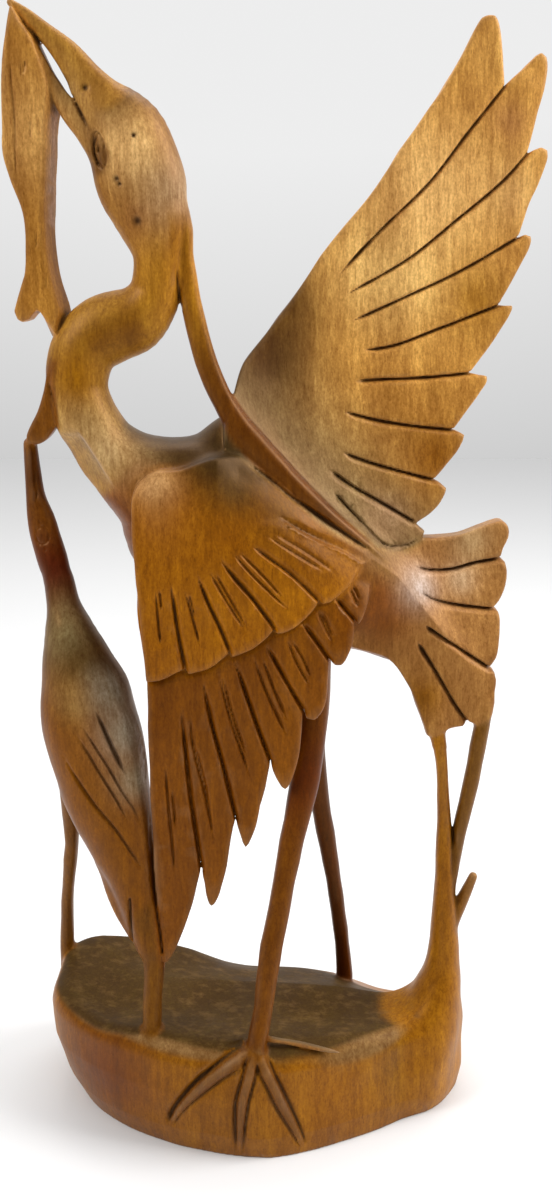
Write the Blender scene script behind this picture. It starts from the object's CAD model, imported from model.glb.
import math

import bpy
import numpy as np
import openvdb
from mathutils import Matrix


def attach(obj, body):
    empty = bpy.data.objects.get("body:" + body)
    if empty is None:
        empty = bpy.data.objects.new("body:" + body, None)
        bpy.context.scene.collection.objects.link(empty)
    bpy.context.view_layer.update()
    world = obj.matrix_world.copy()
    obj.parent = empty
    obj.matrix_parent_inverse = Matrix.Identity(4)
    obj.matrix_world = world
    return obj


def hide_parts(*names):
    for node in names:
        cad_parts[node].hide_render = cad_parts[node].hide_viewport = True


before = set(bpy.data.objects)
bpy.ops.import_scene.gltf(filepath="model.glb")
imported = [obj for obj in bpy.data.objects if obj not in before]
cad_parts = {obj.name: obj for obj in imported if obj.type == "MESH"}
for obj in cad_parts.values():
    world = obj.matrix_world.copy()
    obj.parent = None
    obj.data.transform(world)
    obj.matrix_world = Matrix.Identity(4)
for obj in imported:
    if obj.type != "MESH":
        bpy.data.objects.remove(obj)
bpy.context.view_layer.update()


# Block. The real carving is cut from one block of close-grained brown hardwood, with nothing glued on.
# It is kept as a grid of cells, in millimetres, that each hold the distance to the wood's surface: below
# zero in the wood, above zero in the air. Forms are left standing in it, and cuts are taken out of it.
CELL = 0.8
BLOCK_LOW = np.array((-143.0, -97.0, -4.0))
BLOCK_HIGH = np.array((160.0, 73.0, 618.0))
OPEN_AIR = 12.0
wood = np.full(np.ceil((BLOCK_HIGH - BLOCK_LOW) / CELL).astype(int) + 1, OPEN_AIR, dtype=np.float32)


def room(low, high):
    """The cells of the block between two corners, and their x, y and z."""
    first = np.maximum(np.floor((np.array(low) - BLOCK_LOW) / CELL).astype(int), 0)
    last = np.minimum(np.ceil((np.array(high) - BLOCK_LOW) / CELL).astype(int) + 1, wood.shape)
    x, y, z = (
        (BLOCK_LOW[i] + CELL * np.arange(first[i], last[i])).astype(np.float32) for i in range(3)
    )
    cells = tuple(slice(a, b) for a, b in zip(first, last))
    return cells, x[:, None, None], y[None, :, None], z[None, None, :]


# Base. The foot of the block is left thick under both birds and the reed: sawn flat below, rasped to a
# bowl round the sides, and gouged to a shallow uneven top that falls away to the right and the back.
BASE_RINGS = np.array([
    # z, middle x, middle y, half length, half depth
    [0, -3, -22, 113, 63],
    [14, -6, -22, 118, 65],
    [36, -11, -21, 121.5, 65],
    [52, -12, -23, 121.2, 61],
    [66, -13, -25, 119, 55],
])
BASE_TOP = 63.0
RIM_ROUNDING = 13.0
LEFT_REAR_ROUNDING = 6.0
# How square the rings' corners are: 2 is a plain oval, less is more pointed, and more is squarer.
FRONT_LEFT_SQUARENESS = 1.75
FRONT_RIGHT_SQUARENESS = 1.35
BACK_LEFT_SQUARENESS = 5.0
BACK_RIGHT_SQUARENESS = 3.4


def blend(a, b, softness):
    """Two forms joined with a worn-in hollow between them instead of a sharp corner."""
    overlap = np.maximum(softness - np.abs(a - b), 0) / softness
    return np.minimum(a, b) - overlap * overlap * (softness / 4)


def pare(a, b, softness):
    """What is left of one form inside another, with the edge between them rounded over."""
    return -blend(-a, -b, softness)


def smoothstep(value, low, high):
    share = np.clip((value - low) / (high - low), 0, 1)
    return share * share * (3 - 2 * share)


RIM_FALL = 0.06
CORNER_FALL = 0.003


def base_lift(x, y):
    """How far the rim and the top rise to the left, and fall away towards the right rear corner."""
    return -RIM_FALL * x - CORNER_FALL * np.maximum(0, x + 110) * np.maximum(0, y + 13)


def mound(x, y, middle, reach, height):
    """A low rise or hollow round a place."""
    away = ((x - middle[0]) / reach[0]) ** 2 + ((y - middle[1]) / reach[1]) ** 2
    return height * np.exp(-away)


TOP_LUMPS = [
    # middle, reach and height; those below zero are hollows
    ((-118, 12), (30, 28), 3.8), ((-95, -38), (20, 22), -6.0), ((-46, -40), (26, 18), -4.0),
    ((-70, 24), (30, 14), 4.6), ((-22, 32), (28, 18), -5.0), ((70, 20), (24, 30), -7.0),
    ((24, -42), (26, 16), -3.5), ((62, -34), (20, 22), -2.5), ((20, 20), (40, 18), 2.0),
]


def base_top(x, y):
    return BASE_TOP + base_lift(x, y) + sum(mound(x, y, *lump) for lump in TOP_LUMPS)


cells, x, y, z = room((-143, -97, -4), (157, 73, 100))
level = z - smoothstep(z, 20, 60) * base_lift(x, y)
middle_x, middle_y, half_length, half_depth = (
    np.interp(level, BASE_RINGS[:, 0], BASE_RINGS[:, i]) for i in range(1, 5)
)
across = np.abs(x - middle_x) / half_length
deep = np.abs(y - middle_y) / half_depth
front_squareness = np.where(x < middle_x, FRONT_LEFT_SQUARENESS, FRONT_RIGHT_SQUARENESS)
back_squareness = np.where(x < middle_x, BACK_LEFT_SQUARENESS, BACK_RIGHT_SQUARENESS)
squareness = np.where(y < middle_y, front_squareness, back_squareness)
ring = np.maximum((across ** squareness + deep ** squareness) ** (1 / squareness), 1e-3)
side = np.hypot(x - middle_x, y - middle_y) * (1 - 1 / ring)
left_rear = smoothstep(-x, 40, 110) * smoothstep(y, -20, 20)
rounding = RIM_ROUNDING - (RIM_ROUNDING - LEFT_REAR_ROUNDING) * left_rear
wood[cells] = pare(side, z - base_top(x, y), rounding)


def stain(red, green, blue):
    """A wood stain as linear light, from the red, green and blue that the eye reads (0 to 255)."""
    return np.array([(value / 255) ** 2.2 for value in (red, green, blue)])


# Each part notes its stain here, with the function that says where on the skin it is brushed.
brushed = []


def brush(where, colour):
    """Brushes on a stain, over those that are on already."""
    brushed.append((where, stain(*colour)))


def dab(middle, reach, colour):
    """Rubs another shade into the stain round one place, with no edge to it."""
    def where(points, up):
        return np.exp(-np.sum((points - middle) ** 2, axis=1) / reach ** 2)

    brush(where, colour)


def on_base(points, up):
    """All that stands low down. The legs and the reed are brushed over it later."""
    return 1 - smoothstep(points[:, 2], 78, 100)


def on_base_top(points, up):
    """The top of the base, which is left dark and dusty: level wood, low down."""
    low_down = 1 - smoothstep(points[:, 2], 76, 92)
    return low_down * smoothstep(up, 0.45, 0.85) * smoothstep(points[:, 2], 40, 50)


brush(on_base, (136, 84, 17))
# The side is redder at the left, a little paler in front and duller at the right.
dab((-100, -70, 40), 34, (103, 50, 8))
dab((35, -84, 28), 40, (145, 89, 20))
dab((84, -60, 40), 26, (124, 82, 19))
brush(on_base_top, (60, 44, 18))


# Bodies and legs. Each is one long tapering form with oval sections, roughed out with a knife and
# sanded until it runs into its neighbours without a line.
def smooth_through(stations, spacing):
    """Points at about this spacing on a smooth curve through the stations."""
    stations = np.array(stations, dtype=float)
    gaps = np.linalg.norm(np.diff(stations[:, :3], axis=0), axis=1)
    knots = np.concatenate(([0], np.cumsum(np.sqrt(gaps))))
    slopes = np.gradient(stations, knots, axis=0)
    points = []
    for i, gap in enumerate(gaps):
        count = max(1, int(round(gap / spacing)))
        t = (np.arange(count) / count)[:, None]
        step = knots[i + 1] - knots[i]
        points.append(
            (2 * t ** 3 - 3 * t ** 2 + 1) * stations[i] + (t ** 3 - 2 * t ** 2 + t) * step * slopes[i]
            + (3 * t ** 2 - 2 * t ** 3) * stations[i + 1] + (t ** 3 - t ** 2) * step * slopes[i + 1]
        )
    return np.vstack(points + [stations[-1:]])


def sand(form):
    """Takes the smallest ridges off a form, as sandpaper does."""
    for axis in range(3):
        lead = [slice(None)] * 3
        middle, trail = list(lead), list(lead)
        lead[axis], middle[axis], trail[axis] = slice(2, None), slice(1, -1), slice(None, -2)
        smoothed = form.copy()
        smoothed[tuple(middle)] = (
            0.25 * form[tuple(lead)] + 0.5 * form[tuple(middle)] + 0.25 * form[tuple(trail)]
        )
        form = smoothed
    return form


def sweep(stations, softness, spacing, squareness):
    """The distance to a form along [x, y, z, half width, half depth], and its cells."""
    points = smooth_through(stations, spacing)
    reach = points[:, 3:].max() + softness + 4
    cells, *_ = room(points[:, :3].min(axis=0) - reach, points[:, :3].max(axis=0) + reach)
    form = np.full(wood[cells].shape, OPEN_AIR, dtype=np.float32)
    corner = [piece.start for piece in cells]
    for here, there in zip(points[:-1], points[1:]):
        margin = max(here[3:].max(), there[3:].max()) + softness + 4
        part, x, y, z = room(
            np.minimum(here[:3], there[:3]) - margin, np.maximum(here[:3], there[:3]) + margin
        )
        part = tuple(slice(p.start - c, p.stop - c) for p, c in zip(part, corner))
        run = there[:3] - here[:3]
        length = np.linalg.norm(run)
        tangent = run / length
        deep = np.array((0.0, 1.0, 0.0)) - tangent[1] * tangent
        deep /= np.linalg.norm(deep)
        wide = np.cross(deep, tangent)
        from_start = [axis - value for axis, value in zip((x, y, z), here[:3])]
        along = sum(f * t for f, t in zip(from_start, tangent))
        share = np.clip(along / length, 0, 1)
        past_end = along - share * length
        half_width = here[3] + share * (there[3] - here[3])
        half_depth = here[4] + share * (there[4] - here[4])
        u = sum(f * w for f, w in zip(from_start, wide))
        v = sum(f * d for f, d in zip(from_start, deep))
        out = np.sqrt(u * u + v * v + past_end * past_end) + 1e-4
        end = past_end / np.minimum(half_width, half_depth)
        if squareness == 2.0:
            ratio = np.sqrt((u / half_width) ** 2 + (v / half_depth) ** 2 + end ** 2)
        else:
            ratio = (
                np.abs(u / half_width) ** squareness + np.abs(v / half_depth) ** squareness
                + np.abs(end) ** squareness
            ) ** (1 / squareness)
        distance = out - out / np.maximum(ratio, 1e-5)
        form[part] = np.minimum(form[part], distance)
    return cells, sand(form)


def limb(stations, softness=4.0, spacing=3.0, squareness=2.0):
    """A form left standing in the block, that runs softly into the wood already there."""
    cells, form = sweep(stations, softness, spacing, squareness)
    wood[cells] = blend(wood[cells], form, softness)


def beside(stations, fade=0.35):
    """Where the skin belongs to a limb: close to its middle line, for its thickness there."""
    spine = smooth_through(stations, 6.0)

    def where(points, up):
        nearest = np.full(len(points), 9.0)
        for here, there in zip(spine[:-1], spine[1:]):
            run = there[:3] - here[:3]
            away = points - here[:3]
            share = np.clip(away @ run / (run @ run), 0, 1)
            gap = np.linalg.norm(away - share[:, None] * run, axis=1)
            half = max(here[3:].max(), 1.0) * (1 - share) + max(there[3:].max(), 1.0) * share
            nearest = np.minimum(nearest, gap / half)
        return 1 - smoothstep(nearest, 1.1, 1.1 + fade)

    return where


def path_gaps(x, z, path):
    """How far each place is from a path, on which side (left is above zero), and how far along it."""
    nearest = np.full(np.broadcast_shapes(x.shape, z.shape), 1e9, dtype=np.float32)
    side = np.ones_like(nearest)
    along = np.zeros_like(nearest)
    for i, (start, end) in enumerate(zip(path[:-1], path[1:])):
        run_x, run_z = end - start
        away_x, away_z = x - start[0], z - start[1]
        share = np.clip((away_x * run_x + away_z * run_z) / (run_x ** 2 + run_z ** 2), 0, 1)
        gap = np.hypot(away_x - share * run_x, away_z - share * run_z)
        closer = gap < nearest
        nearest = np.where(closer, gap, nearest)
        side = np.where(closer, np.sign(run_x * away_z - run_z * away_x), side)
        along = np.where(closer, (i + share) / (len(path) - 1), along)
    return nearest, side, along


FACET_SLOPE = 1.2
FACET_BACK_SLOPE = 3.0
FACET_RUN_OUT = 14.0


def facet(path, depths, side, reach=14.0, softness=1.5):
    """Pares a flat facet beside a path: it starts at these depths and falls away from the path."""
    points = np.array(path, dtype=float)
    low, high = points.min(axis=0) - reach, points.max(axis=0) + reach
    cells, x, y, z = room(
        (low[0], min(depths) - 12, low[1]), (high[0], max(depths) + 2 * reach, high[1])
    )
    gap, which, along = path_gaps(x[:, 0, :], z[0], points)
    start = np.interp(along, np.linspace(0, 1, len(depths)), depths)
    ends = FACET_RUN_OUT * (1 - smoothstep(along, 0.0, 0.3) * smoothstep(-along, -1.0, -0.6))
    plane = np.where(which * side > 0, start + FACET_SLOPE * gap, start - FACET_BACK_SLOPE * gap) - ends
    plane = np.where((along <= 0) | (along >= 1) | (gap > reach), -OPEN_AIR + y.min(), plane)
    removed = (plane[:, None, :] - y) / math.hypot(1, FACET_SLOPE)
    wood[cells] = pare(wood[cells], removed, softness)


BODY_Y = -13.0


def in_body_plane(stations):
    """Stations [x, z, half width, half depth], set in the plane through the middle of the birds."""
    return [[x, BODY_Y, z, wide, deep] for x, z, wide, deep in stations]


# Each form starts on the last stations of the one before it, so that they run into each other.
HEAD = in_body_plane([
    [-97, 560, 7, 7], [-84, 550.6, 16, 12.5], [-75, 541.3, 20, 15.5], [-70.8, 529.5, 22, 16.5],
    [-67, 515.7, 22.3, 16.5], [-62.3, 500.3, 17.2, 14.5], [-59.8, 486, 12.3, 12], [-60, 474, 11.7, 11],
])
NECK = HEAD[-3:] + in_body_plane([
    [-63.5, 461.8, 13.7, 11.5], [-72.3, 452.2, 16.5, 12.5], [-86, 447.3, 18.2, 13.5],
    [-98, 439.3, 17.5, 13.5], [-104, 422, 16.2, 14], [-100.5, 402.4, 14.4, 15.5],
]) + [[-90.3, -11, 384.1, 16.2, 19]]
BODY = NECK[-2:] + [
    [-71.3, -8, 367.2, 23.2, 25], [-58, -5.5, 357, 29.5, 28], [-45, -3, 345, 42, 30],
    [-10, -2, 321, 52, 31], [25, -2, 312, 40, 30], [55, 0, 298.5, 29.5, 22], [80, 2, 287, 27, 10],
    [100, 4, 281, 18, 4],
]
# The saddle is the low back between the two wings, where the near one dies away into the body.
SADDLE = [
    [-84, -10, 383, 9.5, 14], [-68, -7, 378.5, 11.5, 18], [-51, -5, 378, 12, 19],
    [-38, -3, 381.5, 11.8, 17], [-28, -1, 388.5, 11.6, 14], [-18, 1, 398, 9, 10],
]
NEAR_LEG = [
    [19.5, -20, 268, 11, 12], [20.5, -28, 243, 8.5, 8.5], [16, -37, 207, 8, 7.5], [7.2, -48, 167, 6.4, 6],
    [1, -56.5, 134, 6, 5.5], [-4, -63.5, 107, 6.1, 5.5], [-7.2, -69, 83, 5.4, 5],
    [-11, -74.5, 62, 5.2, 5.5], [-12, -77, 50, 3, 3],
]
FAR_LEG = [
    [20, 4, 268, 12, 10], [21.7, 7, 215, 7, 6.5], [26.3, 9, 172.5, 5.9, 5.5], [30.9, 10.5, 145.5, 5.4, 5],
    [35.9, 12, 115, 4.6, 4.5], [41, 13.8, 75, 4.7, 4.5], [43.4, 14.5, 50, 5, 5],
]
limb(HEAD, softness=6.0, squareness=1.85)
limb(NECK, softness=5.0, squareness=1.75)
limb(BODY, softness=8.0, spacing=5.0)
limb(SADDLE, softness=8.0)
BREAST_EDGE = [(-109, 407), (-101, 393), (-92, 378.5), (-83, 364.5), (-77, 357)]
facet(BREAST_EDGE, (-24.5, -26, -27, -28.5, -29), -1, softness=2.0)
limb(NEAR_LEG, squareness=2.3)
limb(FAR_LEG, squareness=2.3)
for form, colour in (
    (BODY, (116, 60, 12)), (HEAD, (140, 92, 32)), (NECK, (159, 111, 40)), (SADDLE, (74, 54, 26)),
    (NEAR_LEG, (101, 56, 10)), (FAR_LEG, (80, 38, 8)),
):
    brush(beside(form), colour)
# The near leg is red-brown at the top. The head, the nape and the breast are rubbed pale, and the stain
# lies darker on the forehead, on the side of the neck and in its bend.
dab((14, -42, 212), 30, (80, 32, 6))
dab((-73, -30, 534), 17, (228, 178, 112))
dab((-67, -27, 500), 14, (125, 70, 15))
dab((-46, -17, 508), 20, (184, 156, 124))
dab((-82, -16, 562), 17, (80, 60, 32))
dab((-90, -26, 441), 10, (108, 64, 14))
dab((-74, -24, 446), 10, (108, 64, 14))
dab((-99, -30, 398), 17, (190, 152, 94))
dab((-85, -33, 387), 17, (174, 137, 90))
dab((-103, -27, 424), 14, (160, 104, 19))
# The rim of the base is rubbed pale along the front.
BASE_RIM = [
    [-82, -68, 66, 2, 2], [-58.5, -75, 65, 3, 3], [-42, -79, 63, 2.6, 2.6], [-17, -81, 62, 1.8, 1.8],
    [18, -80, 58, 2.6, 2.6], [37, -74, 56, 4.4, 4.4], [57, -61, 56, 4, 4], [75, -46, 57, 2, 2],
]
brush(beside(BASE_RIM, fade=1.2), (124, 91, 54))


# Beak. Two slim mandibles stand open from the forehead and the chin, and hold the fish between them. They
# are whittled from the same wood, with squarer edges than the head, and the lower one is stained darker.
UPPER_BEAK = in_body_plane([
    [-128.5, 600.5, 1.6, 2.2], [-122, 595.5, 3.2, 3.4], [-114.3, 588.8, 4.3, 4.5],
    [-102.5, 577, 7, 6], [-92, 564.8, 8.7, 8], [-83, 555, 10.6, 10],
])
LOWER_BEAK = in_body_plane([
    [-123, 588, 2.4, 3], [-119.5, 581.3, 3.4, 4], [-109.9, 566, 5.2, 5],
    [-100.2, 551.8, 6.5, 6.5], [-92.2, 542, 7.4, 8], [-83, 531, 9.2, 11],
])
for form, colour in ((UPPER_BEAK, (155, 107, 41)), (LOWER_BEAK, (78, 42, 9))):
    limb(form, softness=2.0, squareness=2.6)
    brush(beside(form), colour)
dab((-104, -18, 560), 7, (44, 28, 12))


# Chick. It stands upright against the front edge of the near wing and reaches up for the morsel. Beak, neck
# and body are one smooth spindle of the same wood, left standing on two thin legs that run into the base.
CHICK_TOP = 390.0
CHICK_LEAN = 39 / 280


def chick_spine(stations):
    """Stations [x, z, half width, half depth], on a plane that leans from the beak to the near foot."""
    return [[x, BODY_Y - CHICK_LEAN * (CHICK_TOP - z), z, wide, deep] for x, z, wide, deep in stations]


CHICK_HEAD = chick_spine([
    [-130.5, 388, 3.2, 5], [-129.6, 374.6, 4, 5], [-128.1, 359.6, 5.3, 5.5], [-124.5, 343.5, 7.8, 7],
    [-120.3, 327, 8.2, 8], [-116.8, 315, 7.4, 8], [-114.6, 302, 8.4, 10], [-111.5, 287, 12.8, 15],
])
CHICK_BODY = CHICK_HEAD[-3:] + chick_spine([
    [-107.7, 270, 19.3, 18], [-103.6, 253.6, 24.5, 20], [-101.6, 238.7, 26.5, 21],
    [-97.8, 223.7, 26.2, 21], [-93.4, 201, 24, 19], [-87, 179.5, 20.5, 16], [-79.8, 153, 14.3, 13],
    [-75, 132.7, 11, 11], [-70.5, 114, 8, 9],
])
CHICK_WING_TIP = [
    [-95, -42, 160, 6, 6], [-88, -46, 140, 6, 5], [-83, -49, 126, 4.5, 4], [-80, -51, 118, 2.6, 3],
]
CHICK_NEAR_LEG = [
    [-71, -49, 132, 10, 9], [-69, -52, 112, 7.5, 7.5], [-68, -55, 100, 5.8, 6],
    [-69.4, -58.6, 80, 5.2, 5.5], [-69.7, -62, 63, 5, 5.5], [-70, -63, 52, 5, 5],
]
CHICK_FAR_LEG = [
    [-108, -32, 222, 9, 9], [-115, -20, 203, 8, 8], [-119, -11, 181, 5.5, 6.5],
    [-121, -5, 152.7, 4.2, 5], [-125.3, 1.7, 123.5, 3.6, 4.5], [-127.8, 6, 105, 3.7, 4.5],
    [-130, 10, 74, 4.4, 5], [-130, 11, 60, 5, 5],
]
limb(CHICK_HEAD, softness=3.0)
limb(CHICK_BODY, softness=3.0)
CHICK_BACK_EDGE = [(-94, 285.5), (-87.5, 270), (-83.5, 250.5), (-82, 235), (-78.5, 215.5), (-72.5, 197)]
facet(CHICK_BACK_EDGE, (-36, -41, -47, -51, -52.5, -50), 1, reach=18.0)
limb(CHICK_WING_TIP, softness=3.0)
limb(CHICK_NEAR_LEG, squareness=2.3)
limb(CHICK_FAR_LEG, squareness=2.3)
for form, colour in (
    (CHICK_BODY, (115, 66, 10)), (CHICK_HEAD, (100, 55, 14)), (CHICK_NEAR_LEG, (101, 61, 13)),
    (CHICK_FAR_LEG, (104, 62, 15)),
):
    brush(beside(form), colour)
# The neck is red-brown, and the shoulder and the edge of the back are rubbed grey.
dab((-129, -16, 372), 14, (86, 45, 12))
dab((-119, -30, 322), 18, (82, 21, 7))
dab((-111, -42, 290), 20, (134, 114, 76))
dab((-98, -46, 274), 20, (68, 47, 15))
dab((-107, -51, 258), 12, (136, 98, 50))
dab((-85, -48, 262), 13, (136, 124, 104))
dab((-80, -48, 238), 14, (140, 128, 108))
dab((-76, -48, 212), 12, (133, 118, 94))


# Reed. A forked stem behind the birds: one branch carries the tail and the stub of another is left short.
# It is whittled thin and round from the same block, and flares out where it runs into the base.
REED_STEM = [
    [88, -13, 245, 6, 6], [91.5, -16, 224, 4.2, 5], [94.2, -17, 208, 3.4, 4.5],
    [96, -18.5, 185, 3.4, 4.5], [97, -19.7, 166.4, 4.2, 5], [97.3, -20.5, 153, 5, 6],
    [98.4, -22.5, 121, 6.8, 8], [98.6, -24, 95, 8.6, 10], [97.5, -25, 76, 11.5, 13],
    [93.5, -26, 58, 15.8, 19], [87.5, -27, 36, 19.5, 25], [83.5, -27, 14, 20, 24],
]
REED_BRANCH = [
    [118, -14, 243, 3.5, 4.5], [116.9, -15.4, 234, 4.2, 5], [112.5, -17.3, 204, 4.6, 5],
    [105.7, -19.7, 166.4, 3.9, 5], [101.5, -21.7, 134, 3, 4.5], [99, -23, 118, 3, 4],
]
REED_STUB = [
    [101, -23.5, 104, 4, 5], [106.5, -22.5, 119, 3.8, 4.5], [111.5, -22, 131, 3.2, 4],
    [114.5, -21.5, 138.5, 2.4, 3],
]
for form, softness, colour in (
    (REED_STEM, 14.0, (152, 96, 20)), (REED_BRANCH, 1.5, (104, 67, 20)), (REED_STUB, 1.5, (136, 90, 36)),
):
    limb(form, softness)
    brush(beside(form), colour)


# Near wing. A thick sheet of wood that hangs from the ridge of the back like a cape. A short row of
# feathers lies over a long one; each feather is parted from the next by a knife cut with one sloping side.
def board(low, high):
    """The block seen from the front between two (x, z) corners: its cells, x and z."""
    cells, x, _, z = room((low[0], BLOCK_LOW[1], low[1]), (high[0], BLOCK_HIGH[1], high[1]))
    return cells, x[:, 0, :], z[0]


def curve(points, spacing=3.0):
    """A smooth curve through (x, z) points."""
    flat = [[x, 0, z] for x, z in points]
    return smooth_through(flat, spacing)[:, [0, 2]]


def outline_distance(x, z, outline):
    """Distance to a closed outline: below zero inside it."""
    outline = np.array(outline, dtype=float)
    closed = np.vstack((outline, outline[:1]))
    nearest, _, _ = path_gaps(x, z, closed)
    inside = np.zeros(nearest.shape, dtype=bool)
    for (x0, z0), (x1, z1) in zip(closed[:-1], closed[1:]):
        if z0 != z1:
            crosses = ((z0 > z) != (z1 > z)) & (x < x0 + (z - z0) / (z1 - z0) * (x1 - x0))
            inside ^= crosses
    return np.where(inside, -nearest, nearest)


STEEP_WALL = 0.7


def knife_cut(x, z, path, width, depth, slope_side=0, fade=(0.3, 0.0)):
    """How deep a cut goes. It has a steep wall on one side of the path and a long slope on slope_side,
    or the same slope on both sides when that is 0, and it runs out over the faded share of each end."""
    gap, side, along = path_gaps(x, z, path)
    run_out = smoothstep(along, -0.02, max(fade[0], 0.01))
    if fade[1] > 0:
        run_out = run_out * (1 - smoothstep(along, 1 - fade[1], 1.02))
    taper = 0.35 + 0.65 * run_out
    sloping = np.clip(1 - gap / (width * taper), 0, 1) ** 1.3
    steep = np.clip(1 - gap / (STEEP_WALL * taper), 0, 1)
    if slope_side == 0:
        return depth * run_out * np.clip(1 - gap / (width * taper / 2), 0, 1)
    return depth * run_out * np.where(side * slope_side > 0, sloping, steep)


def lay_sheet(cells, edge, front, back, softness, rounding):
    """Leaves a sheet standing between two faces, inside an outline, and joins it to the wood."""
    first = max(int((front.min() - 6 - BLOCK_LOW[1]) / CELL), 0)
    last = min(int((back.max() + 6 - BLOCK_LOW[1]) / CELL) + 1, wood.shape[1])
    y = (BLOCK_LOW[1] + CELL * np.arange(first, last)).astype(np.float32)[None, :, None]
    steepness = [np.sqrt(1 + sum(g * g for g in np.gradient(face, CELL))) for face in (front, back)]
    from_front = (front[:, None, :] - y) / steepness[0][:, None, :]
    from_back = (y - back[:, None, :]) / steepness[1][:, None, :]
    form = np.maximum(from_front, from_back)
    form = pare(form, edge[:, None, :], rounding)
    cells = (cells[0], slice(first, last), cells[2])
    wood[cells] = blend(wood[cells], form, softness)


def on_sheet(outline, face, thickness):
    """Where the skin belongs to a sheet: inside its outline, between its two faces."""
    def where(points, up):
        x, y, z = points.T
        inside = 1 - smoothstep(outline_distance(x, z, outline), 0.5, 4)
        from_middle = np.abs(y - face(x, z) - thickness / 2)
        return inside * (1 - smoothstep(from_middle, thickness / 2 + 1.5, thickness / 2 + 5))

    return where


WING_THICKNESS = 9.0
ROW_STEP = 3.2
RIDGE_SLOPE = 0.88
RIDGE_HEIGHT = 373.0
RIDGE_TOP = 400.0
RIDGE_DEPTH = -14.0
WING_SWELL = 28.0
WING_SWELL_REACH = 20.0
WING_LEAN = 0.07


def near_wing_face(x, z):
    """The wing swells out quickly below the ridge that it hangs from, and then hangs nearly plumb."""
    below = np.maximum(0, np.minimum(RIDGE_HEIGHT - RIDGE_SLOPE * x, RIDGE_TOP) - z)
    return RIDGE_DEPTH - WING_SWELL * (1 - np.exp(-below / WING_SWELL_REACH)) - WING_LEAN * below


def sawn_edge(*runs):
    """An outline of smooth runs of (x, z) points. Each run but the first starts at the corner where the
    run before it ends."""
    corner, smooth = [], []
    for run in runs:
        smooth.append(curve(corner + run)[:-1])
        corner = run[-1:]
    return np.vstack(smooth)


WING_FRONT_EDGE = [
    (-66, 374.5), (-72.5, 368), (-74.5, 347.5), (-73.5, 327), (-71.5, 308), (-70, 290), (-68.5, 267),
]
SHORT_ROW_EDGE = [
    [(-62.5, 267.5), (-57, 269.5), (-52.5, 272), (-48, 273.5)],
    [(-46, 271), (-42.5, 272), (-37, 273.5), (-32.5, 276), (-28.5, 279.5), (-24.5, 283)],
    [(-23, 280.5), (-19, 282), (-13.5, 284), (-8.5, 287), (-4, 291), (-1, 295)],
    [(0.5, 292.5), (4, 293), (9.5, 295.5), (15, 299.5), (19.5, 304), (22.5, 308.5)],
    [(24.5, 307), (28.5, 308), (33.5, 311.5), (39, 315.5), (42.5, 320), (44.5, 324), (45.5, 326.5)],
]
SHORT_ROW_CUTS = [
    [(-54.5, 319.5), (-53.5, 308.5), (-51.5, 293), (-48, 273.5)],
    [(-41.5, 325.5), (-36, 310), (-30, 297), (-24.5, 283)],
    [(-30, 334), (-23, 323.5), (-12.5, 311), (-1, 295)],
    [(-14, 340), (-5, 332.5), (7.5, 323), (22.5, 308.5)],
    [(0.5, 353), (10.5, 346), (24, 338.5), (37, 332), (45.5, 326.5)],
]
SHORT_ROW_QUILLS = [
    [(-62.5, 316.5), (-61.5, 300.5), (-60, 285)], [(-60.5, 316.5), (-59.5, 305)],
    [(-47.5, 316.5), (-44, 303.5), (-39.5, 286)], [(-45, 314.5), (-42, 300.5)],
    [(-35, 327), (-25, 309), (-15, 293)], [(-32, 326.5), (-24, 311.5), (-14.5, 295)],
    [(-23.5, 336.5), (-12.5, 324), (0, 311.5), (8.5, 303.5)], [(-20.5, 337), (-9.5, 326), (5.5, 309.5)],
    [(-6, 344.5), (8.5, 334.5), (26, 323.5)], [(-2, 345), (12.5, 336), (31, 323)],
]
LONG_ROW_EDGE = [
    [(46, 326), (51.5, 323), (51.5, 316.5), (50, 308.5), (47.5, 301), (44, 295), (41.5, 297)],
    [(41, 287.5), (38.5, 279.5), (35, 273.5), (31.5, 273.5), (28.5, 276)],
    [(28, 266.5), (27, 255.5), (24.5, 248.5), (20.5, 244), (16.5, 245), (14.5, 249)],
    [(13.5, 236.5), (11.5, 220), (8, 210), (5, 206), (1.5, 210), (-1.5, 216), (-3, 221)],
    [(-5.5, 209), (-8.5, 193.5), (-13, 179.5), (-16.5, 173.5), (-19, 179.5), (-21, 185.5), (-22, 189.5)],
    [(-24.5, 178.5), (-28, 157.5), (-32, 144), (-35.5, 139.5), (-38, 144.5), (-39.5, 153), (-41, 160)],
    [(-46, 141), (-52, 123), (-57.5, 110), (-62, 105), (-64, 118), (-66, 150), (-67.6, 200), (-68.5, 267)],
]
LONG_ROW_CUTS = [
    [(-51, 257), (-49, 229.5), (-46.5, 201.5), (-43.5, 178.5), (-41, 160)],
    [(-39.5, 271.5), (-35.5, 247), (-29.5, 222.5), (-22, 189.5)],
    [(-23, 280.5), (-15, 255), (-7.5, 233), (-3, 221)],
    [(-6.5, 287.5), (3.5, 268.5), (14.5, 249)],
    [(13, 298), (20.5, 287.5), (28.5, 276)],
    [(31, 309.5), (36.5, 302.5), (41.5, 297)],
]
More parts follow.
